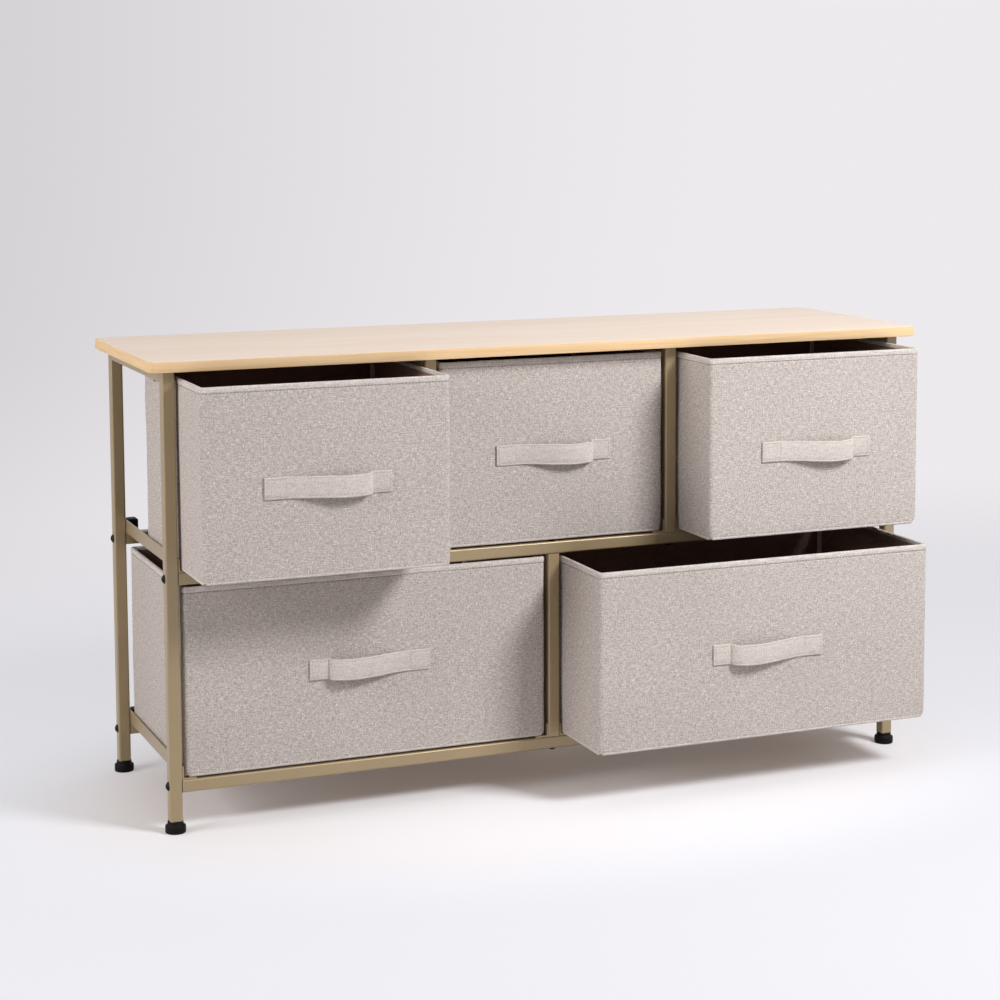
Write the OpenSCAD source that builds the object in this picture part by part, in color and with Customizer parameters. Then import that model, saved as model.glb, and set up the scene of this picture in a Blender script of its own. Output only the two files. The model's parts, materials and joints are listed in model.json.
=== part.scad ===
// Fabric drawer dresser: a knock-down steel frame under a wooden top board, with three
// small fabric drawers above two wide ones.
//
// Two welded end frames and three welded dividers are joined by four long rails. The
// rails bolt to the end frames from outside, and each divider bolts to the rails at its
// ends. Every drawer slides on two steel angles, welded between a front and a rear post,
// and stops against a plastic block at the back of each angle.
//
// Millimetres. +Z is up, the front faces -Y, and the feet stand on z = 0. X and Y are
// zero at the middle of the whole dresser as it stands, with its open drawers.

/* [Top board] */
// Length of the board, end to end
board_w = 1000; // [800:10:1300]
// Depth of the board, front to back
board_d = 300; // [260:5:400]
// Thickness of the board
board_t = 12; // [11:1:25]
// Radius of the board's upright corners
board_corner_r = 12; // [3:1:20]
// How far the board passes each end of the frame
board_end_overhang = 18; // [8:1:40]
// How far the board passes the front of the frame
board_front_overhang = 20; // [0:1:40]

/* [Frame tubes] */
// Width of the square steel tube
tube_w = 15; // [14:1:20]
// Wall of the square tube
tube_wall = 1.2; // [0.8:0.1:1.8]
// Outer radius of the tube's long edges
tube_edge_r = 2.2; // [2:0.1:3]
// Height of the bottom rails' underside above the floor
rail_ground_gap = 47.5; // [20:0.5:120]

/* [Drawer runners] */
// Height of the angle's upright leg
runner_h = 15.5; // [10:0.5:20]
// Width of the angle's flat leg, which carries the drawer
runner_w = 17; // [16:0.5:22]
// Thickness of the angle's legs
runner_t = 2; // [1.5:0.1:3]
// Radius of the angle's inner corner
runner_fillet_r = 1; // [0.5:0.1:2]
// How far the angle's ends stay inside the frame's front and rear faces
runner_end_inset = 1; // [0:0.5:3]

/* [Drawers] */
// Height of every drawer
drawer_h = 221; // [150:1:300]
// Thickness of a drawer's stiffened side
drawer_wall = 3; // [2:0.5:6]
// Thickness of the fabric under the drawer
drawer_floor = 1.5; // [1:0.5:3]
// Radius of a drawer's upright corners
drawer_corner_r = 6; // [5:0.5:15]
// Height of the hem that is folded in round the top
hem_h = 14; // [8:1:30]
// Extra thickness of the hem
hem_t = 1; // [0.5:0.1:2]
// Thickness of the loose board in the bottom of a drawer
base_board_t = 3; // [2:0.5:6]
// Gap round the loose board
base_board_gap = 0.3; // [0.2:0.1:2]
// Gap between a drawer's side and the angle's upright leg
drawer_side_gap = 2; // [0.5:0.1:4]
// Gap between a drawer's bottom and the angle's flat leg
drawer_lift = 0.3; // [0.2:0.05:0.6]
// Space between a wide drawer's top and the middle rails
space_over_wide = 4.7; // [4.5:0.1:20]
// Space between a small drawer's top and the board
space_over_small = 9.2; // [3:0.1:25]
// How far a closed drawer's front lies behind the frame's front
drawer_setback = 1; // [0:0.5:15]

/* [How far the drawers stand open] */
// Top left drawer
top_left_open = 95; // [0:1:200]
// Top middle drawer
top_middle_open = 0; // [0:1:200]
// Top right drawer
top_right_open = 83; // [0:1:200]
// Bottom left drawer
bottom_left_open = 0; // [0:1:200]
// Bottom right drawer
bottom_right_open = 109; // [0:1:200]

/* [Drawer handles] */
// Length of the strap's place on the drawer, sewn end to sewn end
handle_w = 150; // [110:1:180]
// Width of the strap
handle_h = 25; // [15:1:40]
// Thickness of the folded strap
handle_t = 2.2; // [1.5:0.1:4]
// Length of each sewn end
handle_tab = 28; // [15:1:35]
// How far the strap bows out, which is the room for fingers
handle_bow = 14; // [10:0.5:30]
// Height of a small drawer's handle, drawer bottom to strap centre
small_handle_z = 104; // [40:1:120]
// Height of a wide drawer's handle, drawer bottom to strap centre
wide_handle_z = 109; // [40:1:120]

/* [Drawer stops] */
// Width of the stop block
stop_w = 12; // [8:0.5:13]
// Depth of the stop block
stop_d = 16; // [7:0.5:20]
// Height of the stop block above the angle's flat leg
stop_h = 15; // [8:0.5:30]
// Chamfer round the top of the stop block
stop_chamfer = 1.2; // [0.5:0.1:2]
// Diameter of the peg under the block
stop_peg_d = 4; // [2:0.5:5]
// Gap between a closed drawer and its stops
stop_gap = 0.3; // [0.2:0.1:2]

/* [Bolts and screws] */
// Diameter of the frame bolts
bolt_d = 6; // [4:0.5:6]
// Diameter of the bolts' domed heads
bolt_head_d = 11; // [8:0.5:12]
// Height of the domed heads
bolt_head_h = 3.3; // [2:0.1:4]
// Height of the flatter heads that a drawer passes over
low_head_h = 1.7; // [1:0.1:1.9]
// Width across flats of the hexagon socket in a head
bolt_socket_w = 4; // [2:0.5:5]
// Depth of the hexagon socket
bolt_socket_depth = 1.2; // [0.5:0.1:1.5]
// Length of thread that a bolt has in its plug
bolt_grip = 16; // [8:1:25]
// Radial room between a bolt and the hole that it passes
bolt_room = 0.3; // [0.1:0.05:0.5]
// Radial room between a thread and its plug
thread_room = 0.1; // [0.05:0.01:0.15]
// Length of the plugs in the tube ends
plug_length = 20; // [16:1:40]
// Room between a plug and the inside of its tube
plug_room = 0.1; // [0.05:0.01:0.3]
// Diameter of the screws that hold the board
screw_d = 4; // [3:0.5:5]
// Diameter of the screws' pan heads
screw_head_d = 8; // [6:0.5:9]
// Height of the pan heads
screw_head_h = 2.4; // [1.5:0.1:3]
// How deep a screw goes into the board
screw_bite = 9; // [5:0.5:9.5]
// Distance of a board screw from the nearer post
screw_inset = 40; // [15:1:60]

/* [Feet] */
// Diameter of a foot's pad
foot_d = 24; // [18:1:40]
// Height of the pad's straight rim
foot_rim_h = 9; // [3:0.5:11]
// Height of the sloping shoulder above the rim
foot_shoulder_h = 1.5; // [0.5:0.5:2.5]
// Height of the whole foot under the post
foot_h = 14; // [13:0.5:25]
// Diameter of the foot's collar, against the post
foot_neck_d = 18.5; // [12:0.5:20]
// Diameter of the foot's threaded stud
foot_stud_d = 8; // [5:0.5:8]
// Length of the stud above the foot
foot_stud_length = 24; // [10:1:30]
// Gap between the foot and the post's end
foot_gap = 0.3; // [0.2:0.1:3]
// Chamfer on the pad's lower rim
foot_chamfer = 0.8; // [0.3:0.1:1.5]

/* [Hidden] */
$fn = 48;

METAL = "#b8a47c";
WOOD = "#ecd3ac";
CANVAS = "#c3bab2";
LINING_BOARD = "#3c3531";
BLACK = "#1c1c1e";

// Which end, side and face
LEFT = -1;
RIGHT = 1;
FRONT = -1;
REAR = 1;
ENDS = [LEFT, RIGHT];
FACES = [FRONT, REAR];

// Drawers by number
TOP_LEFT = 0;
TOP_MIDDLE = 1;
TOP_RIGHT = 2;
BOTTOM_LEFT = 3;
BOTTOM_RIGHT = 4;
DRAWERS = [TOP_LEFT, TOP_MIDDLE, TOP_RIGHT, BOTTOM_LEFT, BOTTOM_RIGHT];
DRAWER_OPEN = [top_left_open, top_middle_open, top_right_open, bottom_left_open, bottom_right_open];

// Overlap of a cut past the face that it cuts
cut = 1;

// Frame: overall and inside sizes
frame_w = board_w - 2 * board_end_overhang;
frame_d = board_d - board_front_overhang;
frame_inner_w = frame_w - 2 * tube_w;
post_x = (frame_w - tube_w) / 2;

// Front and rear places: the whole dresser, with its open drawers, is centred on y = 0
foot_reach = max(0, (foot_d - tube_w) / 2);
drawer_reach = max(DRAWER_OPEN) + handle_bow + handle_t - drawer_setback;
front_reach = max(board_front_overhang, drawer_reach, foot_reach);
rear_y = (front_reach + frame_d - foot_reach) / 2;
frame_front_y = rear_y - frame_d;
rail_front_y = frame_front_y + tube_w / 2;
rail_rear_y = rear_y - tube_w / 2;
frame_y = (frame_front_y + rear_y) / 2;
top_tube_length = frame_d - 2 * tube_w;

// Heights, stacked from the floor
bottom_rail_z = rail_ground_gap + tube_w / 2;
wide_runner_z = rail_ground_gap + tube_w;
wide_drawer_z = wide_runner_z + runner_t + drawer_lift;
middle_rail_z = wide_drawer_z + drawer_h + space_over_wide + tube_w / 2;
small_runner_z = middle_rail_z + tube_w / 2;
small_drawer_z = small_runner_z + runner_t + drawer_lift;
board_z = small_drawer_z + drawer_h + space_over_small;
top_tube_z = board_z - tube_w / 2;
post_foot_z = foot_h + foot_gap;

// Bays between the posts, and the drawers that fill them
small_bay_w = (frame_inner_w - 2 * tube_w) / 3;
wide_bay_w = (frame_inner_w - tube_w) / 2;
small_bay_x = small_bay_w + tube_w;
wide_bay_x = (wide_bay_w + tube_w) / 2;
divider_x = (small_bay_w + tube_w) / 2;
bay_side_room = runner_t + drawer_side_gap;
BAY_X = [-small_bay_x, 0, small_bay_x, -wide_bay_x, wide_bay_x];
BAY_W = [small_bay_w, small_bay_w, small_bay_w, wide_bay_w, wide_bay_w];
RUNNER_Z = [small_runner_z, small_runner_z, small_runner_z, wide_runner_z, wide_runner_z];
DRAWER_Z = [small_drawer_z, small_drawer_z, small_drawer_z, wide_drawer_z, wide_drawer_z];
HANDLE_Z = [small_handle_z, small_handle_z, small_handle_z, wide_handle_z, wide_handle_z];
drawer_d = frame_d - drawer_setback - stop_d - stop_gap;

// Handle: the strap's bow is an arc of a circle through its two folds
handle_span = handle_w - 2 * handle_tab;
handle_arc_r = (pow(handle_span / 2, 2) + pow(handle_bow, 2)) / (2 * handle_bow);

// Runner and stop places, measured from a bay's side
runner_length = frame_d - 2 * runner_end_inset;
stop_x = runner_t + runner_fillet_r + stop_w / 2;
stop_y = rear_y - stop_d / 2;

// Inside of the tube, and the plug that fills its end
tube_inner_w = tube_w - 2 * tube_wall;
tube_inner_r = tube_edge_r - tube_wall;
plug_w = tube_inner_w - 2 * plug_room;

function drawer_w(i) = BAY_W[i] - 2 * bay_side_room;
function drawer_front_y(i) = frame_front_y + drawer_setback - DRAWER_OPEN[i];
function bay_side_x(i, side) = BAY_X[i] + side * BAY_W[i] / 2;
function rail_y(face) = face == FRONT ? rail_front_y : rail_rear_y;

// ---------- shapes that repeat ----------

// Rectangle with round corners, centred
module round_rect(w, d, r) {
    square([w - 2 * r, d], center = true);
    square([w, d - 2 * r], center = true);
    for (x = [-1, 1], y = [-1, 1])
        translate([x * (w / 2 - r), y * (d / 2 - r)])
            circle(r);
}

// Square steel tube that stands on z = 0
module tube_up(length) {
    linear_extrude(length)
        difference() {
            round_rect(tube_w, tube_w, tube_edge_r);
            round_rect(tube_inner_w, tube_inner_w, tube_inner_r);
        }
}

// Same tube lying along X, centred
module tube_along_x(length) {
    translate([-length / 2, 0, 0])
        rotate([0, 90, 0])
            tube_up(length);
}

// Same tube lying along Y, centred
module tube_along_y(length) {
    translate([0, length / 2, 0])
        rotate([90, 0, 0])
            tube_up(length);
}

// Drill across a tube, centred on it, along X or along Z
module drill_x(d) {
    rotate([0, 90, 0])
        cylinder(d = d, h = tube_w + 2 * cut, center = true);
}

module drill_z(d) {
    cylinder(d = d, h = tube_w + 2 * cut, center = true);
}

// Plug that fills a tube end, standing on z = 0, with its threaded hole
module end_plug(hole_d) {
    linear_extrude(plug_length)
        difference() {
            round_rect(plug_w, plug_w, tube_inner_r);
            circle(d = hole_d);
        }
}

// Domed bolt: its shank points up from z = 0 and its head hangs below
module dome_bolt(head_h) {
    dome_r = (pow(bolt_head_d / 2, 2) + pow(head_h, 2)) / (2 * head_h);
    socket_depth = min(bolt_socket_depth, head_h / 2);
    cylinder(d = bolt_d, h = tube_w + bolt_grip);
    difference() {
        rotate_extrude()
            intersection() {
                translate([0, dome_r - head_h])
                    circle(dome_r, $fn = 96);
                translate([0, -head_h])
                    square([bolt_head_d / 2, head_h]);
            }
        translate([0, 0, -head_h - cut])
            cylinder(d = bolt_socket_w / cos(30), h = socket_depth + cut, $fn = 6);
    }
}

// Pan-head wood screw: its shank points up from z = 0 and its head hangs below
module pan_screw() {
    cylinder(d = screw_d, h = tube_w + screw_bite);
    translate([0, 0, -screw_head_h])
        cylinder(d1 = screw_head_d - 2 * thread_room, d2 = screw_head_d, h = screw_head_h);
}

// Where the board's screws stand: two through each of the four top tubes
module at_board_screws() {
    for (x = [-post_x, -divider_x, divider_x, post_x], face = FACES)
        translate([x, frame_y + face * (top_tube_length / 2 - screw_inset), 0])
            children();
}

// ---------- top board ----------

module top_board() {
    color(WOOD)
        difference() {
            translate([0, rear_y - board_d / 2, board_z])
                linear_extrude(board_t)
                    round_rect(board_w, board_d, board_corner_r);
            at_board_screws()
                translate([0, 0, board_z - cut])
                    cylinder(d = screw_d + 2 * thread_room, h = screw_bite + thread_room + cut);
        }
}

// ---------- end frames ----------

// Corner post of the frame, drilled for the two rails' bolts
module upright(side, face) {
    color(METAL)
        translate([side * post_x, rail_y(face), 0])
            difference() {
                translate([0, 0, post_foot_z])
                    tube_up(board_z - post_foot_z);
                for (z = [bottom_rail_z, middle_rail_z])
                    translate([0, 0, z])
                        drill_x(bolt_d + 2 * bolt_room);
            }
}

// Short tube under the board, welded between a front and a rear post
module top_tube(x) {
    color(METAL)
        difference() {
            translate([x, frame_y, top_tube_z])
                tube_along_y(top_tube_length);
            at_board_screws()
                translate([0, 0, top_tube_z])
                    drill_z(screw_d + 2 * bolt_room);
        }
}

// ---------- long rails ----------

// Rail across the whole frame, drilled where the dividers bolt to it
module rail(face, z, drilled_x) {
    color(METAL)
        translate([0, rail_y(face), z])
            difference() {
                tube_along_x(frame_inner_w);
                for (x = drilled_x)
                    translate([x, 0, 0])
                        drill_z(bolt_d + 2 * bolt_room);
            }
}

module middle_rail(face) {
    rail(face, middle_rail_z, [-divider_x, 0, divider_x]);
}

module bottom_rail(face) {
    rail(face, bottom_rail_z, [0]);
}

// ---------- dividers ----------

// Post between the middle rails and the board
module upper_post(side, face) {
    color(METAL)
        translate([side * divider_x, rail_y(face), small_runner_z])
            tube_up(board_z - small_runner_z);
}

// Post between the bottom rails and the middle rails
module lower_post(face) {
    color(METAL)
        translate([0, rail_y(face), wide_runner_z])
            tube_up(middle_rail_z - tube_w / 2 - wide_runner_z);
}

// ---------- drawer runners and stops ----------

// Angle section, its upright leg against x = 0 and its flat leg towards +X
module angle_section() {
    square([runner_w, runner_t]);
    square([runner_t, runner_h]);
    translate([runner_t, runner_t])
        difference() {
            square(runner_fillet_r);
            translate([runner_fillet_r, runner_fillet_r])
                circle(runner_fillet_r);
        }
}

// Moves a child made for a bay's left side, at x = 0, to either side of drawer i's bay
module at_bay_side(i, side) {
    translate([bay_side_x(i, side), 0, RUNNER_Z[i]])
        scale_side(side)
            children();
}

module scale_side(side) {
    if (side == LEFT)
        children();
    else
        mirror([1, 0, 0])
            children();
}

// Steel angle that one side of drawer i slides on
module runner(i, side) {
    color(METAL)
        at_bay_side(i, side)
            difference() {
                translate([0, rear_y - runner_end_inset, 0])
                    rotate([90, 0, 0])
                        linear_extrude(runner_length)
                            angle_section();
                translate([stop_x, stop_y, -cut])
                    cylinder(d = stop_peg_d + 2 * thread_room, h = runner_t + 2 * cut);
            }
}

// Block with a chamfered top and a peg that sits in the runner's hole
module stop_block() {
    body_h = stop_h - stop_chamfer;
    cylinder(d = stop_peg_d, h = runner_t);
    translate([0, 0, runner_t]) {
        linear_extrude(body_h)
            square([stop_w, stop_d], center = true);
        intersection() {
            translate([0, stop_d / 2, body_h])
                rotate([90, 0, 0])
                    linear_extrude(stop_d)
                        chamfered_top(stop_w);
            translate([-stop_w / 2, 0, body_h])
                rotate([90, 0, 90])
                    linear_extrude(stop_w)
                        chamfered_top(stop_d);
        }
    }
}

// Low trapezium on y = 0 with both upper corners cut
module chamfered_top(w) {
    polygon([
        [-w / 2, 0],
        [w / 2, 0],
        [w / 2 - stop_chamfer, stop_chamfer],
        [-w / 2 + stop_chamfer, stop_chamfer]
    ]);
}

module drawer_stops() {
    color(BLACK)
        for (i = DRAWERS, side = ENDS)
            at_bay_side(i, side)
                translate([stop_x, stop_y, 0])
                    stop_block();
}

// ---------- plugs, bolts and screws ----------

module rail_end_plugs() {
    color(BLACK)
        for (side = ENDS, face = FACES, z = [bottom_rail_z, middle_rail_z])
            translate([side * frame_inner_w / 2, rail_y(face), z])
                rotate([0, -side * 90, 0])
                    end_plug(bolt_d + 2 * thread_room);
}

module post_end_plugs() {
    color(BLACK) {
        for (side = ENDS, face = FACES)
            translate([side * divider_x, rail_y(face), small_runner_z])
                end_plug(bolt_d + 2 * thread_room);
        for (face = FACES) {
            translate([0, rail_y(face), wide_runner_z])
                end_plug(bolt_d + 2 * thread_room);
            translate([0, rail_y(face), middle_rail_z - tube_w / 2])
                mirror([0, 0, 1])
                    end_plug(bolt_d + 2 * thread_room);
        }
    }
}

module side_bolts() {
    color(BLACK)
        for (side = ENDS, face = FACES, z = [bottom_rail_z, middle_rail_z])
            translate([side * frame_w / 2, rail_y(face), z])
                rotate([0, -side * 90, 0])
                    dome_bolt(bolt_head_h);
}

module divider_bolts() {
    color(BLACK) {
        for (side = ENDS, face = FACES)
            translate([side * divider_x, rail_y(face), middle_rail_z - tube_w / 2])
                dome_bolt(bolt_head_h);
        for (face = FACES) {
            translate([0, rail_y(face), rail_ground_gap])
                dome_bolt(bolt_head_h);
            translate([0, rail_y(face), middle_rail_z + tube_w / 2])
                mirror([0, 0, 1])
                    dome_bolt(low_head_h);
        }
    }
}

module board_screws() {
    color(BLACK)
        at_board_screws()
            translate([0, 0, board_z - tube_w])
                pan_screw();
}

// ---------- feet ----------

module foot_inserts() {
    color(BLACK)
        for (side = ENDS, face = FACES)
            translate([side * post_x, rail_y(face), post_foot_z])
                end_plug(foot_stud_d + 2 * thread_room);
}

// Levelling foot: a round pad that narrows to a short collar, with a threaded stud above it
module foot(side, face) {
    pad_r = foot_d / 2;
    neck_r = foot_neck_d / 2;
    stud_r = foot_stud_d / 2;
    stud_top = foot_h + foot_stud_length;
    color(BLACK)
        translate([side * post_x, rail_y(face), 0])
            rotate_extrude()
                polygon([
                    [0, 0],
                    [pad_r - foot_chamfer, 0],
                    [pad_r, foot_chamfer],
                    [pad_r, foot_rim_h],
                    [neck_r, foot_rim_h + foot_shoulder_h],
                    [neck_r, foot_h],
                    [stud_r, foot_h],
                    [stud_r, stud_top - foot_chamfer],
                    [stud_r - foot_chamfer, stud_top],
                    [0, stud_top]
                ]);
}

// ---------- drawers ----------

// Moves a child from a drawer's own place, its front face at y = 0 and its bottom at
// z = 0, to where drawer i stands
module at_drawer(i) {
    translate([BAY_X[i], drawer_front_y(i), DRAWER_Z[i]])
        children();
}

// Plan of drawer i, drawn in from its outside by inset
module drawer_plan(i, inset) {
    translate([0, drawer_d / 2])
        round_rect(drawer_w(i) - 2 * inset, drawer_d - 2 * inset, drawer_corner_r - inset);
}

// Open fabric bin with a thicker hem round its top
module drawer_bin(i) {
    color(CANVAS)
        at_drawer(i)
            difference() {
                linear_extrude(drawer_h)
                    drawer_plan(i, 0);
                translate([0, 0, drawer_floor])
                    linear_extrude(drawer_h - hem_h - drawer_floor)
                        drawer_plan(i, drawer_wall);
                translate([0, 0, drawer_h - hem_h - cut])
                    linear_extrude(hem_h + 2 * cut)
                        drawer_plan(i, drawer_wall + hem_t);
            }
}

// Loose stiffening board in the bottom of the bin
module drawer_base_board(i) {
    color(LINING_BOARD)
        at_drawer(i)
            translate([0, 0, drawer_floor])
                linear_extrude(base_board_t)
                    drawer_plan(i, drawer_wall + base_board_gap);
}

// Strap with two sewn ends and a bow between them
module drawer_handle(i) {
    sewn_length = handle_tab + handle_t / 2;
    color(CANVAS)
        at_drawer(i)
            translate([0, 0, HANDLE_Z[i] - handle_h / 2])
                linear_extrude(handle_h) {
                    for (side = ENDS)
                        translate([side * (handle_w - sewn_length) / 2, -handle_t / 2])
                            square([sewn_length, handle_t], center = true);
                    intersection() {
                        translate([0, handle_arc_r - handle_bow])
                            difference() {
                                circle(handle_arc_r + handle_t, $fn = 180);
                                circle(handle_arc_r, $fn = 180);
                            }
                        translate([-handle_w / 2, -handle_bow - handle_t - cut])
                            square([handle_w, handle_bow + handle_t + cut]);
                    }
                }
}

// ---------- the dresser ----------

top_board();

upright(LEFT, FRONT);  // left_front_upright
upright(LEFT, REAR);  // left_rear_upright
top_tube(-post_x);  // left_top_tube
upright(RIGHT, FRONT);  // right_front_upright
upright(RIGHT, REAR);  // right_rear_upright
top_tube(post_x);  // right_top_tube

middle_rail(FRONT);  // front_middle_rail
middle_rail(REAR);  // rear_middle_rail
bottom_rail(FRONT);  // front_bottom_rail
bottom_rail(REAR);  // rear_bottom_rail

upper_post(LEFT, FRONT);  // upper_left_divider_front_post
upper_post(LEFT, REAR);  // upper_left_divider_rear_post
top_tube(-divider_x);  // upper_left_divider_top_tube
upper_post(RIGHT, FRONT);  // upper_right_divider_front_post
upper_post(RIGHT, REAR);  // upper_right_divider_rear_post
top_tube(divider_x);  // upper_right_divider_top_tube
lower_post(FRONT);  // lower_divider_front_post
lower_post(REAR);  // lower_divider_rear_post

runner(TOP_LEFT, LEFT);  // top_left_drawer_left_runner
runner(TOP_LEFT, RIGHT);  // top_left_drawer_right_runner
runner(TOP_MIDDLE, LEFT);  // top_middle_drawer_left_runner
runner(TOP_MIDDLE, RIGHT);  // top_middle_drawer_right_runner
runner(TOP_RIGHT, LEFT);  // top_right_drawer_left_runner
runner(TOP_RIGHT, RIGHT);  // top_right_drawer_right_runner
runner(BOTTOM_LEFT, LEFT);  // bottom_left_drawer_left_runner
runner(BOTTOM_LEFT, RIGHT);  // bottom_left_drawer_right_runner
runner(BOTTOM_RIGHT, LEFT);  // bottom_right_drawer_left_runner
runner(BOTTOM_RIGHT, RIGHT);  // bottom_right_drawer_right_runner
drawer_stops();

rail_end_plugs();
post_end_plugs();
foot_inserts();
side_bolts();
divider_bolts();
board_screws();

foot(LEFT, FRONT);  // front_left_foot
foot(RIGHT, FRONT);  // front_right_foot
foot(LEFT, REAR);  // rear_left_foot
foot(RIGHT, REAR);  // rear_right_foot

drawer_bin(TOP_LEFT);  // top_left_drawer_bin
drawer_base_board(TOP_LEFT);  // top_left_drawer_base_board
drawer_handle(TOP_LEFT);  // top_left_drawer_handle
drawer_bin(TOP_MIDDLE);  // top_middle_drawer_bin
drawer_base_board(TOP_MIDDLE);  // top_middle_drawer_base_board
drawer_handle(TOP_MIDDLE);  // top_middle_drawer_handle
drawer_bin(TOP_RIGHT);  // top_right_drawer_bin
drawer_base_board(TOP_RIGHT);  // top_right_drawer_base_board
drawer_handle(TOP_RIGHT);  // top_right_drawer_handle
drawer_bin(BOTTOM_LEFT);  // bottom_left_drawer_bin
drawer_base_board(BOTTOM_LEFT);  // bottom_left_drawer_base_board
drawer_handle(BOTTOM_LEFT);  // bottom_left_drawer_handle
drawer_bin(BOTTOM_RIGHT);  // bottom_right_drawer_bin
drawer_base_board(BOTTOM_RIGHT);  // bottom_right_drawer_base_board
drawer_handle(BOTTOM_RIGHT);  // bottom_right_drawer_handle
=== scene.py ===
# %% [markdown]
# # Dressing a fabric drawer dresser
# The dresser is a knock-down steel frame with a wooden board on top and five fabric
# drawers that slide on steel angles. The bare model of it, made for building and for
# testing how it moves, is loaded first. These cells then give it its fabric, stitching,
# wood, paint and light, one piece at a time. All lengths are in metres.

# %% Load the bare model
import json
import math

import bpy
from mathutils import Matrix, Vector, noise


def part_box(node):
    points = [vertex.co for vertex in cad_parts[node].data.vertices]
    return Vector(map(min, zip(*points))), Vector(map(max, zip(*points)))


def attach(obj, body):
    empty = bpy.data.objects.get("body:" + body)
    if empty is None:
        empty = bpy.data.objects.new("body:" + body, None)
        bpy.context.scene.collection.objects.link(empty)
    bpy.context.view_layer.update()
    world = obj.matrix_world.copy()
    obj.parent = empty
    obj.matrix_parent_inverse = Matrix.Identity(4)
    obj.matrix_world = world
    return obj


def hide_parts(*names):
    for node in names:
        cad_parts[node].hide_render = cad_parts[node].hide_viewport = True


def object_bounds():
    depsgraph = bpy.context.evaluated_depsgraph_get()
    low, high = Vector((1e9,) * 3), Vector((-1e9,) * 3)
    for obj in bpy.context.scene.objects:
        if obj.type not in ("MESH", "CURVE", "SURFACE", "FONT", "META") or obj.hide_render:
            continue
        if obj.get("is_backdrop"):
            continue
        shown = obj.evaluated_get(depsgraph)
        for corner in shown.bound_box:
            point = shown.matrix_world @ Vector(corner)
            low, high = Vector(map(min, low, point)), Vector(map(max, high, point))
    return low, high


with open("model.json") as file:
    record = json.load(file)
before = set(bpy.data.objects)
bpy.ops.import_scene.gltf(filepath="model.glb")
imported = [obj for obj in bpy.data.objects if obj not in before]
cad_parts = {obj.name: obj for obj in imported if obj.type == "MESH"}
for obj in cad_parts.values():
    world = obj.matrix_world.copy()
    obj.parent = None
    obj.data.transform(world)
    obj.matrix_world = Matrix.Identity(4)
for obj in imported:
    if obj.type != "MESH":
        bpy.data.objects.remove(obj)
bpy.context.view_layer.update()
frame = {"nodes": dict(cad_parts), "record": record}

# %% [markdown]
# ## What the pieces share
# A drawer is found by the name that its parts start with. Its cover, lining and handle
# are placed from the corners of its bare pieces. Only the small flaws that make it look
# sewn are given one by one.

# %% The drawers and a few lengths
DRAWERS = ["top_left_drawer", "top_middle_drawer", "top_right_drawer",
           "bottom_left_drawer", "bottom_right_drawer"]
MM = 0.001
# No sewn drawer is as true as its bare bin: these rims stand so many millimetres higher.
RIM_RISE = {"top_middle_drawer": 2.5, "top_right_drawer": 1.0, "bottom_left_drawer": 2.0}
bins = {}
for drawer in DRAWERS:
    low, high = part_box(drawer + "_bin")
    high.z += RIM_RISE.get(drawer, 0) * MM
    bins[drawer] = (low, high)
    print(drawer, [round(1000 * side, 1) for side in high - low], "mm")

# %% [markdown]
# ## From points to a piece
# Every piece here starts as a list of points and a list of faces. One helper turns them
# into an object and hands it its finishes. It also writes down, at every corner of every
# face, how far along and up the cloth that corner lies. A weave drawn with those two
# lengths follows the cloth round a corner, where one drawn straight through space would
# smear.

# %% Make a piece
def make_piece(name, points, faces, finishes, finish_of=None, cloth=None, crease=40):
    mesh = bpy.data.meshes.new(name)
    mesh.from_pydata(points, [], faces)
    for finish in finishes:
        mesh.materials.append(finish)
    if finish_of:
        mesh.polygons.foreach_set("material_index", finish_of)
    if cloth:
        along = mesh.attributes.new("cloth", "FLOAT_VECTOR", "CORNER")
        along.data.foreach_set("vector", [number for corner in cloth for number in corner])
    mesh.shade_smooth()
    mesh.set_sharp_from_angle(angle=math.radians(crease))
    mesh.update()
    piece = bpy.data.objects.new(name, mesh)
    bpy.context.scene.collection.objects.link(piece)
    return piece


# %% [markdown]
# ## The camera
# A long lens a little above the dresser and to its left. Two of its sides show, and the
# upright edges stay nearly parallel.

# %% Place the camera
CAMERA_PLACE = Vector((-1.08454, -2.57666, 0.83879))
TURN, TILT, ROLL = -0.38602, 0.10475, -0.00437

camera_data = bpy.data.cameras.new("studio_camera")
camera = bpy.data.objects.new("studio_camera", camera_data)
bpy.context.scene.collection.objects.link(camera)
camera.matrix_world = (Matrix.Translation(CAMERA_PLACE)
                       @ Matrix.Rotation(TURN, 4, "Z")
                       @ Matrix.Rotation(math.pi / 2 - TILT, 4, "X")
                       @ Matrix.Rotation(ROLL, 4, "Z"))
camera_data.sensor_width = 36
camera_data.lens = 81.62
camera_data.shift_y = -0.16
bpy.context.scene.camera = camera
print("Camera", round(camera_data.lens, 1), "mm lens at", [round(v, 2) for v in CAMERA_PLACE])

# %% [markdown]
# ## The helpers for finishes
# A finish is a small graph of nodes. Two helpers keep the cells short: one adds a node
# and wires or sets its inputs by name, the other does sums. What is the same all over a
# surface, such as how rough it is, is set on the shader itself.

# %% Helpers for finishes
def add(tree, kind, options=None, **inputs):
    node = tree.nodes.new("ShaderNode" + kind)
    for option, value in (options or {}).items():
        setattr(node, option, value)
    for name, value in inputs.items():
        feed(tree, node.inputs[name.replace("_", " ")], value)
    return node


def feed(tree, socket, value):
    if isinstance(value, bpy.types.NodeSocket):
        tree.links.new(value, socket)
    else:
        socket.default_value = value


def sum_of(tree, operation, first, second=0.0, third=0.0):
    node = add(tree, "Math", {"operation": operation})
    for socket, value in zip(node.inputs, (first, second, third)):
        feed(tree, socket, value)
    return node.outputs[0]


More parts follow.
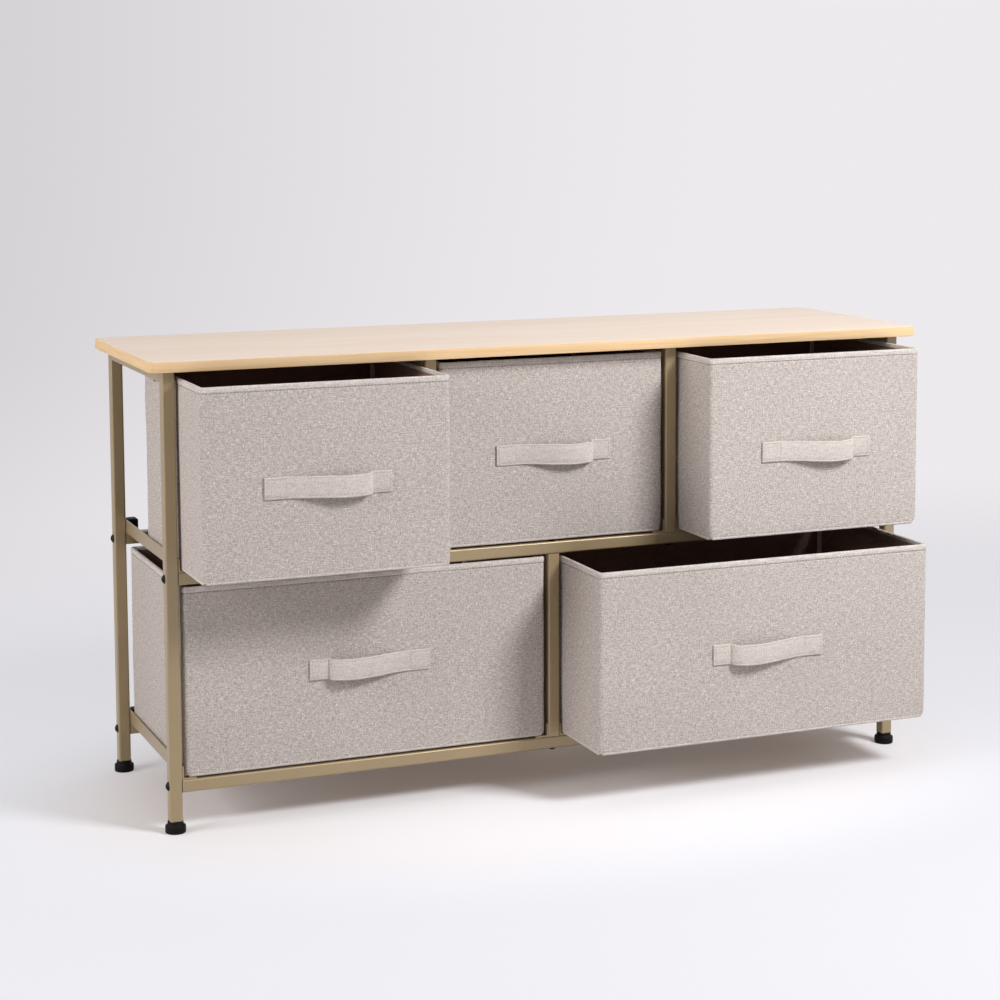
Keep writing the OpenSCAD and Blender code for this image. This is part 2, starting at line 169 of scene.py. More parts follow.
def colours_between(tree, value, stops):
    node = add(tree, "ValToRGB", Fac=value)
    points = node.color_ramp.elements
    while len(points) < len(stops):
        points.new(0.5)
    for point, (place, colour) in zip(points, stops):
        point.position = place
        point.color = (*colour, 1)
    return node.outputs["Color"]


def tinted(tree, colour, by, amount):
    """The colour made lighter or darker by a value round one half."""
    shade = sum_of(tree, "MULTIPLY_ADD", by, 2 * amount, 1 - amount)
    node = add(tree, "VectorMath", {"operation": "SCALE"})
    feed(tree, node.inputs[0], colour)
    feed(tree, node.inputs["Scale"], shade)
    return node.outputs[0]


def flecks(tree, place, scale, detail=2.0, roughness=0.5, distortion=0.0):
    """Noise whose grains are 1 / scale metres long in each direction."""
    spread = add(tree, "Mapping", Vector=place, Scale=scale)
    grain = add(tree, "TexNoise", Vector=spread.outputs[0], Scale=1.0, Detail=detail,
                Roughness=roughness, Distortion=distortion)
    return grain.outputs[0]


def new_finish(name, roughness, **settings):
    finish = bpy.data.materials.new(name)
    finish.use_nodes = True
    tree = finish.node_tree
    shader = tree.nodes["Principled BSDF"]
    shader.inputs["Roughness"].default_value = roughness
    for socket, value in settings.items():
        shader.inputs[socket.replace("_", " ")].default_value = value
    return finish, tree, shader


def bumped(tree, shader, height, depth, strength=1.0):
    bump = add(tree, "Bump", Height=height, Distance=depth, Strength=strength)
    tree.links.new(bump.outputs[0], shader.inputs["Normal"])


# %% [markdown]
# ## Linen-look cloth
# The cloth is woven from thick and thin yarns in two or three close greys. From across
# the room that reads as fine light and dark flecks, and close by as a plain weave. Four
# noises draw it: one stretched along the weft, one stretched along the warp, one of
# short specks and one of faint blotches. A fifth, far slower, makes the cloth a little
# cloudy. A product of two sines gives the weave its tiny hills. A picture of cloth would
# do as well from afar, but it repeats and blurs close by, and noise does neither.

# %% Cloth finish
WEAVE_PITCH = 1.3 * MM
WEAVE_DEPTH = 0.96 * MM
SLUB = (0.93, 0.885, 0.85)


def cloth_finish(name, dark, middle, light, contrast=1.0, streak=1.0):
    """Cloth in three close tones and a few pale slubs. A higher contrast parts the tones
    more sharply, and a higher streak draws the weft's flecks out."""
    finish, tree, shader = new_finish(name, 0.94, Sheen_Weight=0.08, Sheen_Roughness=0.5,
                                      Specular_IOR_Level=0.1)
    place = add(tree, "Attribute", {"attribute_name": "cloth"}).outputs["Vector"]
    weft = flecks(tree, place, (170 / streak, 700, 1), 2, 0.6)
    warp = flecks(tree, place, (640, 180, 1), 2, 0.6)
    specks = flecks(tree, place, (600, 600, 1), 3, 0.7)
    blotches = flecks(tree, place, (130, 130, 1), 2, 0.6)
    yarns = sum_of(tree, "MULTIPLY_ADD", weft, 0.27, sum_of(tree, "MULTIPLY", warp, 0.22))
    coarse = sum_of(tree, "MULTIPLY_ADD", blotches, 0.07, yarns)
    mix = sum_of(tree, "MULTIPLY_ADD", specks, 0.44, coarse)
    spread = 0.078 / contrast
    colour = colours_between(tree, mix, [(0.5 - spread, dark), (0.5, middle), (0.5 + spread, light),
                                         (0.5 + 1.6 * spread, SLUB)])
    cloudy = flecks(tree, place, (9, 7, 1), 2)
    feed(tree, shader.inputs["Base Color"], tinted(tree, colour, cloudy, 0.06))
    along = add(tree, "SeparateXYZ", Vector=place)
    waves = [sum_of(tree, "SINE", sum_of(tree, "MULTIPLY", way, 2 * math.pi / WEAVE_PITCH))
             for way in (along.outputs[0], along.outputs[1])]
    hills = sum_of(tree, "MULTIPLY", *waves)
    bumped(tree, shader, sum_of(tree, "MULTIPLY_ADD", hills, 0.35, mix), WEAVE_DEPTH, 0.7)
    return finish


linen = cloth_finish("linen_cloth", (0.415, 0.36, 0.333), (0.60, 0.535, 0.50), (0.755, 0.69, 0.65))
# The hem cloth is drawn lighter than the walls and more streaked along the weft. Its lightness is a painted
# highlight: the light that the turned-over rim catches from above and, at the rolled bottom edge, the light
# bounced up from the floor.
hem_and_highlight_linen = cloth_finish("hem_and_highlight_cloth", (0.52, 0.46, 0.43), (0.70, 0.635, 0.598), (0.84, 0.78, 0.74),
                         contrast=0.9, streak=3.0)
strap_linen = cloth_finish("strap_cloth", (0.55, 0.48, 0.442), (0.70, 0.63, 0.588), (0.81, 0.75, 0.71),
                           contrast=0.8, streak=2.0)
print("Cloth finishes:", linen.name, hem_and_highlight_linen.name, strap_linen.name)

# %% [markdown]
# ## Lining, thread and corner strips
# The lining is dark non-woven cloth, pressed with a pattern of small dots that holds its
# fibres together. A pattern of cells gives the dots, because its cells can be set nearly
# in rows. A pale strip lies in each inner corner, where the lining's seam leaves the
# cloth showing. It is drawn paler than the cloth: painted light, for the light that shines
# through the corner where no board stiffens it. The hem thread is darker than the cloth,
# partly its own colour and partly painted shade for the groove that the stitches pull in.
# The straps are sewn with thread near to their own colour.

# %% Lining, thread and corner strip finishes
DOT_PITCH = 2.2 * MM


def pressed_dots(tree, place):
    dots = add(tree, "TexVoronoi", {"feature": "F1"}, Vector=place, Scale=1 / DOT_PITCH, Randomness=0.15)
    return dots.outputs["Distance"]


def nonwoven_finish(name, colour, roughness=0.85):
    finish, tree, shader = new_finish(name, roughness, Sheen_Weight=0.1, Specular_IOR_Level=0.25)
    place = add(tree, "Attribute", {"attribute_name": "cloth"}).outputs["Vector"]
    fibres = flecks(tree, place, (700, 300, 1), 3, 0.7)
    dots = pressed_dots(tree, place)
    pressed = [0.8 * share for share in colour]
    tone = colours_between(tree, dots, [(0.1, pressed), (0.45, colour)])
    feed(tree, shader.inputs["Base Color"], tinted(tree, tone, fibres, 0.25))
    bumped(tree, shader, sum_of(tree, "MULTIPLY_ADD", dots, 1.5, fibres), 0.0003)
    return finish


def thread_finish(name, colour):
    finish, tree, shader = new_finish(name, 0.75, Sheen_Weight=0.1)
    place = add(tree, "TexCoord").outputs["Object"]
    feed(tree, shader.inputs["Base Color"], tinted(tree, colour, flecks(tree, place, (900, 900, 900)), 0.3))
    bumped(tree, shader, flecks(tree, place, (2500, 2500, 2500)), 0.0001)
    return finish


dark_lining = nonwoven_finish("dark_lining", (0.27, 0.165, 0.125))
board_cover = nonwoven_finish("base_board_cover", (0.150, 0.095, 0.075), 0.8)
# Paler than the cloth: painted light for the light that shines through each inner corner.
corner_strip_painted_light = nonwoven_finish("corner_strip_painted_light", (0.80, 0.72, 0.64))
# The hem thread is darker than the cloth: partly its own colour and partly painted shade for the groove that
# the stitches pull in.
shaded_thread = thread_finish("shaded_sewing_thread", (0.20, 0.165, 0.145))
pale_thread = thread_finish("pale_sewing_thread", (0.52, 0.455, 0.415))
print("Lining finishes:", dark_lining.name, board_cover.name, corner_strip_painted_light.name, shaded_thread.name, pale_thread.name)

# %% [markdown]
# ## Pale wood-look board
# The board is faced with a printed foil: a pinkish cream oak with faint grain along its
# length. Its edges carry a warmer band whose grain runs along the band. A noise drawn out
# ten times further along the board than across it gives the broad grain, and one drawn
# out sixty times gives the pores. The foil is dull, so that no lamp glares on it.

# %% Wood finishes
def wood_finish(name, dark, light, grain_scale, pore_scale, roughness):
    finish, tree, shader = new_finish(name, roughness, Specular_IOR_Level=0.12)
    place = add(tree, "TexCoord").outputs["Object"]
    broad = flecks(tree, place, grain_scale, 4, 0.55, 0.8)
    pores = flecks(tree, place, pore_scale, 3, 0.6)
    mix = sum_of(tree, "MULTIPLY_ADD", pores, 0.45, sum_of(tree, "MULTIPLY", broad, 0.55))
    feed(tree, shader.inputs["Base Color"], colours_between(tree, mix, [(0.36, dark), (0.62, light)]))
    bumped(tree, shader, pores, 0.00015, 0.5)
    return finish


board_foil = wood_finish("pale_oak_foil", (0.755, 0.625, 0.52), (0.825, 0.71, 0.615),
                         (1.6, 17, 17), (5, 300, 300), 0.62)
edge_band = wood_finish("warm_edge_band", (0.71, 0.475, 0.25), (0.83, 0.60, 0.36),
                        (6, 6, 200), (14, 14, 1100), 0.5)
print("Wood finishes:", board_foil.name, edge_band.name)

# %% [markdown]
# ## Champagne powder coat, black plastic, black bolts
# Powder coat is plastic dust baked onto the steel. With metal flakes in it, it shines
# softly and has a very fine orange-peel surface. The feet and stops are moulded plastic,
# and the bolts have a thin oiled oxide. All three are one colour with fine grain and some
# slow wear in it, so one helper makes them, each with its own grain and gloss.

# %% Metal and plastic finishes
def speckled_finish(name, colour, roughness, amount, grain, depth, **settings):
    finish, tree, shader = new_finish(name, roughness, **settings)
    place = add(tree, "TexCoord").outputs["Object"]
    fine = flecks(tree, place, (grain, grain, grain), 2, 0.6)
    worn = flecks(tree, place, (14, 14, 14), 3, 0.6)
    feed(tree, shader.inputs["Base Color"],
         tinted(tree, tinted(tree, colour, fine, amount), worn, amount * 0.8))
    rough = sum_of(tree, "MULTIPLY_ADD", worn, 0.16, roughness - 0.08)
    feed(tree, shader.inputs["Roughness"], rough)
    bumped(tree, shader, fine, depth)
    return finish


champagne_coat = speckled_finish("champagne_coat", (0.355, 0.268, 0.152), 0.40, 0.10, 1500, 0.00006,
                                 Metallic=0.3, Coat_Weight=0.3, Coat_Roughness=0.28)
black_plastic = speckled_finish("black_plastic", (0.009, 0.008, 0.009), 0.50, 0.25, 1800, 0.00012,
                                Specular_IOR_Level=0.08)
black_oxide = speckled_finish("black_oxide", (0.014, 0.011, 0.009), 0.42, 0.30, 1200, 0.00008,
                              Specular_IOR_Level=0.12)

FINISHES = {"wood_board": board_foil, "champagne_metal": champagne_coat, "linen_fabric": linen,
            "strap_fabric": strap_linen, "base_board": board_cover, "black_plastic": black_plastic,
            "black_bolts": black_oxide}
for part in frame["record"]["subparts"]:
    for holder in frame["nodes"][part["node"]].material_slots:
        holder.material = FINISHES[part["material_slot"]]

# %% [markdown]
# ## A studio
# The dresser stands on a pale floor, which turns into a plain backdrop far from it, the
# same from every side. Three soft lamps light it: one high on the right that draws the
# shadows, a broad one on the left for the end of the dresser, and a broad, weak one above
# for the board. A faint world fills the rest. Floor and backdrop glow a little by
# themselves. Close to the dresser the glow is painted light: warm, as light bounced off
# the cloth would be, and lifting the floor's shadow. Further off it makes the floor evenly
# white, and on the backdrop it is painted light again, lighter on the key lamp's side.
# Only the camera and reflections see that glow, so it puts no light on the dresser. Light
# that bounces off the floor meets a greyer floor than the one that shows, which keeps the
# shadows deep.

# %% Turn a profile round an upright axis
def turned(name, profile, finishes, around=64, centre=(0, 0), wobble=None, crease=40):
    """profile: (radius, height) from bottom to top. A radius of 0 closes that end."""
    points, faces = [], []
    rings = []
    for radius, height in profile:
        if radius == 0:
            rings.append([len(points)])
            points.append((centre[0], centre[1], height))
            continue
        rings.append(list(range(len(points), len(points) + around)))
        for k in range(around):
            turn = 2 * math.pi * k / around
            r = radius + (wobble(turn, radius, height) if wobble else 0)
            points.append((centre[0] + r * math.cos(turn), centre[1] + r * math.sin(turn), height))
    for lower, upper in zip(rings, rings[1:]):
        for k in range(around):
            n = (k + 1) % around
            if len(lower) == 1:
                faces.append((lower[0], upper[n], upper[k]))
            elif len(upper) == 1:
                faces.append((lower[k], lower[n], upper[0]))
            else:
                faces.append((lower[k], lower[n], upper[n], upper[k]))
    return make_piece(name, points, faces, finishes, crease=crease)


# %% Floor and backdrop
# The floor as seen and as light bounces off it, the glow close to the dresser, which is
# painted warm light in the floor's shadow, the even glow further off, and the backdrop's
# painted light: darker on the far side from the key lamp, lighter on its own side.
FLOOR_TONE = (0.91, 0.92, 0.97)
BOUNCE_TONE = (0.60, 0.59, 0.59)
PAINTED_BOUNCE_NEAR, PAPER_FAR = (0.88, 0.66, 0.52), (0.80, 0.79, 0.825)
BACK_DARK, BACK_LIGHT = (0.60, 0.575, 0.60), (0.85, 0.825, 0.85)


def rising(tree, value, start, end):
    """0 below start, 1 above end and a smooth rise between."""
    node = add(tree, "MapRange", {"interpolation_type": "SMOOTHSTEP"}, Value=value,
               From_Min=start, From_Max=end)
    return node.outputs[0]


def seen_ray(tree):
    """1 for rays from the camera and for reflections, 0 for light that bounces."""
    ray = add(tree, "LightPath")
    return sum_of(tree, "MAXIMUM", ray.outputs["Is Camera Ray"],
                  sum_of(tree, "MAXIMUM", ray.outputs["Is Glossy Ray"], ray.outputs["Is Transmission Ray"]))


def backdrop_glow(tree, place):
    """Pale paper with painted light: lighter towards the side where the key lamp stands."""
    across = add(tree, "SeparateXYZ", Vector=place).outputs[0]
    level = add(tree, "VectorMath", {"operation": "MULTIPLY"})
    feed(tree, level.inputs[0], place)
    feed(tree, level.inputs[1], (1, 1, 0))
    away = add(tree, "VectorMath", {"operation": "LENGTH"}, Vector=level.outputs[0]).outputs["Value"]
    share = sum_of(tree, "DIVIDE", sum_of(tree, "ADD", across, 2.0), sum_of(tree, "ADD", away, 2.0))
    paper = colours_between(tree, rising(tree, share, 0.1, 0.66), [(0, BACK_DARK), (1, BACK_LIGHT)])
    return add(tree, "Emission", Color=paper, Strength=1.0)


def floor_finish():
    finish, tree, shader = new_finish("studio_floor", 0.7, Specular_IOR_Level=0.15)
    place = add(tree, "TexCoord").outputs["Object"]
    tone = colours_between(tree, seen_ray(tree), [(0, BOUNCE_TONE), (1, FLOOR_TONE)])
    feed(tree, shader.inputs["Base Color"], tinted(tree, tone, flecks(tree, place, (1.2, 1.2, 1.2)), 0.01))
    oval = add(tree, "VectorMath", {"operation": "MULTIPLY"})
    feed(tree, oval.inputs[0], place)
    feed(tree, oval.inputs[1], (0.6, 1, 1))
    reach = add(tree, "VectorMath", {"operation": "LENGTH"}, Vector=oval.outputs[0]).outputs["Value"]
    glow = colours_between(tree, rising(tree, reach, 0.2, 0.4), [(0, PAINTED_BOUNCE_NEAR), (1, PAPER_FAR)])
    paper = add(tree, "Emission", Color=glow, Strength=1.0)
    # At least 0.13 of the floor that shows is glow: painted light that lifts the shadow under the dresser.
    painted_glow_share = sum_of(tree, "MULTIPLY_ADD", rising(tree, reach, 0.2, 0.5), 0.57, 0.13)
    near = add(tree, "MixShader", Fac=sum_of(tree, "MULTIPLY", painted_glow_share, seen_ray(tree)))
    tree.links.new(shader.outputs[0], near.inputs[1])
    tree.links.new(paper.outputs[0], near.inputs[2])
    backdrop_share = rising(tree, reach, 0.7, 2.1)
    far = add(tree, "MixShader", Fac=sum_of(tree, "MULTIPLY", backdrop_share, seen_ray(tree)))
    tree.links.new(near.outputs[0], far.inputs[1])
    tree.links.new(backdrop_glow(tree, place).outputs[0], far.inputs[2])
    tree.links.new(far.outputs[0], tree.nodes["Material Output"].inputs["Surface"])
    return finish


def backdrop_finish():
    finish = bpy.data.materials.new("studio_backdrop")
    finish.use_nodes = True
    tree = finish.node_tree
    tree.nodes.remove(tree.nodes["Principled BSDF"])
    place = add(tree, "TexCoord").outputs["Object"]
    tree.links.new(backdrop_glow(tree, place).outputs[0], tree.nodes["Material Output"].inputs["Surface"])
    return finish


FLOOR_PROFILE = [(5.0, 0.0), (3.0, 0.0), (0, 0.0)]
BACKDROP_PROFILE = [(5.0, 0.0), (5.6, 0.1), (6.2, 0.5), (6.5, 1.2), (6.6, 6.0)]
floor = turned("studio_floor", FLOOR_PROFILE, [floor_finish()])
backdrop = turned("studio_backdrop", BACKDROP_PROFILE, [backdrop_finish()])
for setting in ("visible_diffuse", "visible_shadow", "visible_transmission", "visible_volume_scatter"):
    setattr(backdrop, setting, False)
floor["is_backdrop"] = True
backdrop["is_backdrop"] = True

# %% Lamps and world
def soft_lamp(name, place, aim, size, watts, colour=(1, 1, 1)):
    data = bpy.data.lights.new(name, "AREA")
    data.shape = "RECTANGLE"
    data.size, data.size_y = size
    data.energy = watts
    data.color = colour
    lamp = bpy.data.objects.new(name, data)
    lamp.location = place
    lamp.rotation_euler = (Vector(aim) - Vector(place)).to_track_quat("-Z", "Y").to_euler()
    lamp.visible_camera = False
    bpy.context.scene.collection.objects.link(lamp)
    return lamp


soft_lamp("key_lamp", (1.0, -1.5, 1.7), (0.1, 0, 0.3), (0.6, 0.6), 48)
soft_lamp("left_lamp", (-2.7, -0.45, 1.25), (0, 0, 0.3), (1.4, 1.4), 46, (1, 0.98, 0.955))
soft_lamp("top_lamp", (0.0, 0.3, 2.7), (0, 0, 0), (2.4, 1.6), 12)

world = bpy.data.worlds.new("studio_world")
world.use_nodes = True
bpy.context.scene.world = world
sky = world.node_tree.nodes["Background"]
sky.inputs["Color"].default_value = (*BACK_LIGHT, 1)
SKY_LIGHT = 0.2
feed(world.node_tree, sky.inputs["Strength"],
     sum_of(world.node_tree, "MULTIPLY_ADD", seen_ray(world.node_tree), 1 - SKY_LIGHT, SKY_LIGHT))
bpy.context.scene.view_settings.view_transform = "Standard"

# %% [markdown]
# ## Walls from a plan and a section
# A drawer, its lining and the board's edge are all the same kind of form: one section
# that is carried round a rectangle with round corners. The plan gives points, the
# direction that faces outwards at each, and how far along the wall it lies. The section
# says how far in and how high each row of points is.

# %% Plan of a rectangle with round corners
def round_plan(low, high, radius, step=0.008, arc=7):
    """(x, y, outward x, outward y, length so far), anticlockwise from the rear right."""
    corners = [(high[0] - radius, high[1] - radius, 0), (low[0] + radius, high[1] - radius, 1),
               (low[0] + radius, low[1] + radius, 2), (high[0] - radius, low[1] + radius, 3)]
    plan, gone = [], 0.0
    for k, (x, y, quarter) in enumerate(corners):
        for a in range(arc + 1):
            turn = (quarter + a / arc) * math.pi / 2
            out = (math.cos(turn), math.sin(turn))
            along = gone + radius * a / arc * math.pi / 2
            plan.append((x + radius * out[0], y + radius * out[1], *out, along))
        gone += radius * math.pi / 2
        nx, ny, _ = corners[(k + 1) % 4]
        length = math.hypot(nx - x, ny - y)
        pieces = max(2, round(length / step))
        for s in range(1, pieces):
            px, py = x + (nx - x) * s / pieces, y + (ny - y) * s / pieces
            plan.append((px + radius * out[0], py + radius * out[1], *out, gone + length * s / pieces))
        gone += length
    return plan, gone


# %% Carry a section round a plan
def walls(name, plan, girth, section, finishes, capped=True, slack=None, crease=40):
    """section: (inset, height, finish number) from the outer bottom, up, over and down
    inside. slack(x, y, height, along, row) moves a point outwards."""
    points, faces, finish_of, cloth = [], [], [], []
    around = len(plan)
    up = [0.0]
    for (a, za, _), (b, zb, _) in zip(section, section[1:] + section[:1]):
        up.append(up[-1] + math.hypot(b - a, zb - za))
    for row, (inset, height, _) in enumerate(section):
        for x, y, ox, oy, along in plan:
            out = (slack(x, y, height, along, row) if slack else 0.0) - inset
            points.append((x + out * ox, y + out * oy, height))
    rows = len(section) if not capped else len(section) - 1
    for row in range(rows):
        above = (row + 1) % len(section)
        for k in range(around):
            n = (k + 1) % around
            faces.append((row * around + k, row * around + n, above * around + n, above * around + k))
            finish_of.append(section[row][2])
            a = plan[k][4]
            b = plan[n][4] if n else girth
            cloth += [(a, up[row], 0), (b, up[row], 0), (b, up[row + 1], 0), (a, up[row + 1], 0)]
    if capped:
        for row, flip in ((0, True), (len(section) - 1, False)):
            ring = [row * around + k for k in range(around)]
            faces.append(tuple(reversed(ring)) if flip else tuple(ring))
            finish_of.append(section[row][2])
            cloth += [(points[p][0], points[p][1], 0) for p in faces[-1]]
    return make_piece(name, points, faces, finishes, finish_of, cloth, crease)


# %% [markdown]
# ## The top board
# The board is a panel with foil on both faces and a separate band glued round its edge.
# Making them as two pieces gives the fine line where the band's rounded edge meets the
# foil, and lets each have its own grain. The panel is drilled for the eight screws that
# come up through the frame.

# %% Board panel and edge band
board_low, board_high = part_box("top_board")
BOARD_CORNER = 12 * MM
BAND = 0.9 * MM
EASED = 0.5 * MM
z0, z1 = board_low.z, board_high.z
plan, girth = round_plan(board_low, board_high, BOARD_CORNER, step=0.02, arc=10)
panel_section = [(BAND + 2 * MM, z0, 0), (BAND, z0, 0), (BAND, z1, 0), (BAND + 2 * MM, z1, 0)]
panel = walls("board_panel", plan, girth, panel_section, [board_foil])
band_section = [(BAND, z0, 0), (EASED, z0, 0), (0.15 * MM, z0 + 0.15 * MM, 0), (0, z0 + EASED, 0),
                (0, z1 - EASED, 0), (0.15 * MM, z1 - 0.15 * MM, 0), (EASED, z1, 0), (BAND, z1, 0)]
band = walls("board_edge_band", plan, girth, band_section, [edge_band], capped=False, crease=60)

screw_low, screw_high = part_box("board_screws")
SCREW_HEAD_RADIUS = 4 * MM
SCREW_ROWS = (screw_low.y + SCREW_HEAD_RADIUS, screw_high.y - SCREW_HEAD_RADIUS)
TOP_TUBES = ("left_top_tube", "upper_left_divider_top_tube",
             "upper_right_divider_top_tube", "right_top_tube")
SCREW_COLUMNS = [(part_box(tube)[0].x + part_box(tube)[1].x) / 2 for tube in TOP_TUBES]
HOLE_RADIUS, HOLE_DEPTH, HOLE_TIP = 2.1 * MM, 8.6 * MM, 9.1 * MM
drills = []
for x in SCREW_COLUMNS:
    for y in SCREW_ROWS:
        profile = [(0, z0 - 2 * MM), (HOLE_RADIUS, z0 - 2 * MM),
                   (HOLE_RADIUS, z0 + HOLE_DEPTH), (0, z0 + HOLE_TIP)]
        drills.append(turned("drill", profile, [board_foil], around=24, centre=(x, y)))
for drill in drills:
    cutter = panel.modifiers.new("screw_hole", "BOOLEAN")
    cutter.operation = "DIFFERENCE"
    cutter.solver = "EXACT"
    cutter.object = drill
drilled = bpy.data.meshes.new_from_object(panel.evaluated_get(bpy.context.evaluated_depsgraph_get()))
panel.modifiers.clear()
panel.data = drilled
for drill in drills:
    bpy.data.objects.remove(drill)
for piece in (panel, band):
    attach(piece, "frame")
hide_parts("top_board")
print("Board panel has", len(panel.data.polygons), "faces and", len(SCREW_COLUMNS) * 2, "screw holes")

# %% [markdown]
# ## Drawer covers
# A drawer is sewn from cloth over thin stiff boards, so its sides stay nearly flat. Only
# three things give it away as cloth: the rim, where the cloth is turned over and sewn
# down in a hem, the soft corners, and walls that are never quite true. A cloth simulation
# would add folds that boards don't let the cloth have, so the form is drawn. The section
# below climbs the outside, rolls over the rim and comes back down behind the hem. Slow noise
# moves the wall in and out by a millimetre or so, fading out where a seam holds it. Last,
# the lower right edge is rounded off, by most where the cloth is pulled in hardest.

# %% Section of a cover
# The bare bin's corner and wall, how far the hem comes down outside and inside, how thick
# a cover is, and how far its wall may wander.
BIN_CORNER = 6 * MM
BIN_WALL = 3 * MM
HEM_OUTSIDE = 7 * MM
HEM_INSIDE = 14 * MM
SKIN = 1.3 * MM
WALL_WANDER = 1.1 * MM


def cover_section(bottom, top):
    cloth, hem_and_highlight, inner = 0, 1, 2
    # The bottom edge rolls under in the lighter hem cloth: a painted highlight for light bounced up from the
    # floor.
    rows = [(4.5, 0.0, cloth), (2.2, 0.0, cloth), (1.2, 0.15, hem_and_highlight), (0.45, 0.6, hem_and_highlight), (0.05, 1.3, hem_and_highlight),
            (-0.05, 2.2, hem_and_highlight), (0.1, 2.9, hem_and_highlight), (0.3, 3.3, cloth), (0.05, 3.9, cloth)]
    section = [(inset * MM, bottom + height * MM, part) for inset, height, part in rows]
    section.append((0.0, bottom + 5.8 * MM, cloth))
    first, last = bottom + 8 * MM, top - HEM_OUTSIDE - 4 * MM
    count = round((last - first) / (8 * MM))
    section += [(0.0, first + (last - first) * k / count, cloth) for k in range(count + 1)]
    # The rim in the lighter hem cloth: a painted highlight for the light it catches from above.
    rim = [(0.0, 8.8, cloth), (0.15, 8.0, cloth), (0.75, 7.3, hem_and_highlight), (0.15, 6.7, hem_and_highlight), (-0.35, 5.9, hem_and_highlight),
           (-0.50, 4.7, hem_and_highlight), (-0.50, 3.0, hem_and_highlight), (-0.35, 1.7, hem_and_highlight), (0.05, 0.8, hem_and_highlight), (0.6, 0.3, hem_and_highlight),
           (1.4, 0.02, hem_and_highlight), (2.3, 0.0, hem_and_highlight), (3.1, 0.15, hem_and_highlight), (3.8, 0.8, hem_and_highlight), (4.1, 2.0, hem_and_highlight),
           (4.15, 4.5, inner), (4.15, 7.0, inner), (4.1, 11.0, inner), (3.9, 13.6, inner), (3.4, 14.2, inner)]
    section += [(inset * MM, top - drop * MM, part) for inset, drop, part in rim]
    section += [(SKIN, top - HEM_INSIDE - 0.2 * MM, inner), (SKIN, bottom + 3 * MM, inner),
                (SKIN, bottom + 0.9 * MM, inner), (4.5 * MM, bottom + 0.9 * MM, inner)]
    return section


# %% How a wall sags and bulges
def plan_corner(x, y, low, high):
    """Whether this point lies on one of the four round corners."""
    from_side = min(x - low.x, high.x - x)
    from_face = min(y - low.y, high.y - y)
    return 0.3 * MM < from_side < BIN_CORNER and 0.3 * MM < from_face < BIN_CORNER


def wall_slack(low, high, seed, most, rim_move=0.25 * MM):
    """Moves of the outer wall: noise that fades out at the seams, and a rim that isn't
    quite straight."""
    def slack(x, y, height, along, row):
        up = (height - low.z) / (high.z - low.z)
        held = min(1.0, max(0.0, math.sin(math.pi * min(1, max(0, up))) * 1.6))
        slow = noise.noise(Vector((x * 9 + seed * 7.3, y * 9, height * 11)))
        quick = noise.noise(Vector((x * 34 + seed * 3.1, y * 34, height * 30 + 5)))
        rim = noise.noise(Vector((x * 14 + seed * 5.7, y * 14, 3.0)))
        moved = most * held * (0.8 * slow + 0.28 * quick) + rim_move * rim * up ** 3
        if plan_corner(x, y, low, high):
            moved -= 2.6 * MM * max(0.0, 1 - (height - low.z) / (7 * MM)) ** 2
        return moved
    return slack


# Millimetres by which the lower right edge is pulled in. Elsewhere it is one.
TUCKED = {"top_right_drawer": 7.0, "bottom_right_drawer": 4.0}


def tuck_under(piece, drawer):
    """Round off the lower right edge, where the cloth is pulled in under the drawer."""
    low, high = bins[drawer]
    reach, tall = 30 * MM, 12 * MM
    for point in piece.data.vertices:
        beside = max(0.0, (point.co.x - high.x + reach) / reach)
        low_down = min(1.0, max(0.0, 1 - (point.co.z - low.z) / tall))
        point.co.x -= TUCKED.get(drawer, 1.0) * MM * beside ** 2 * (1 - math.sqrt(1 - low_down ** 2))


# %% Make the covers
plans = {}
for number, drawer in enumerate(DRAWERS):
    low, high = bins[drawer]
    plan, girth = round_plan(low, high, BIN_CORNER)
    cover = walls(drawer + "_cover", plan, girth, cover_section(low.z, high.z),
                  [linen, hem_and_highlight_linen, dark_lining],
                  slack=wall_slack(low, high, number, WALL_WANDER), crease=60)
    tuck_under(cover, drawer)
    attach(cover, drawer)
    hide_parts(drawer + "_bin")
    plans[drawer] = (plan, girth)
    print(cover.name, "has", len(cover.data.vertices), "points")

# %% [markdown]
# ## Linings and corner strips
# The lining is a second, dark box inside the cover, its upper edge caught under the hem.
# At each of its four upright seams lies a narrow pale strip, the thin light line that
# shows in the corner of an open drawer. It is paler than the cloth: painted light, for
# the light that shines through the corner where no board stiffens it.

# %% Make the linings
def lining_section(bottom, top):
    floor, edge = bottom + 1.5 * MM, top - HEM_INSIDE - 0.2 * MM
    section = [(4.5 * MM, bottom + 0.9 * MM, 0), (SKIN, bottom + 0.9 * MM, 0),
               (SKIN, edge, 0), (BIN_WALL, edge, 0)]
    count = round((edge - floor) / (9 * MM))
    section += [(BIN_WALL, edge + (floor - edge) * k / count, 0) for k in range(1, count)]
    return section + [(BIN_WALL, floor + 0.8 * MM, 0), (3.4 * MM, floor, 0), (4.5 * MM, floor, 0)]


def lining_slack(low, seed):
    def slack(x, y, height, along, row):
        rise = min(1.0, max(0.0, (height - low.z - 12 * MM) / (30 * MM)))
        slow = noise.noise(Vector((x * 13 + seed * 4.1, y * 13, height * 12 + 9)))
        return -0.9 * MM * rise * abs(slow) if row > 3 else 0.0
    return slack


for number, drawer in enumerate(DRAWERS):
    low, high = bins[drawer]
    plan, girth = plans[drawer]
    lining = walls(drawer + "_lining", plan, girth, lining_section(low.z, high.z), [dark_lining],
                   slack=lining_slack(low, number), crease=60)
    tuck_under(lining, drawer)
    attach(lining, drawer)
print("Linings end about", round(HEM_INSIDE / MM), "mm under the rims")

# %% Make the corner strips
STRIP_WIDTH = 6 * MM
STRIP_THICK = 0.5 * MM


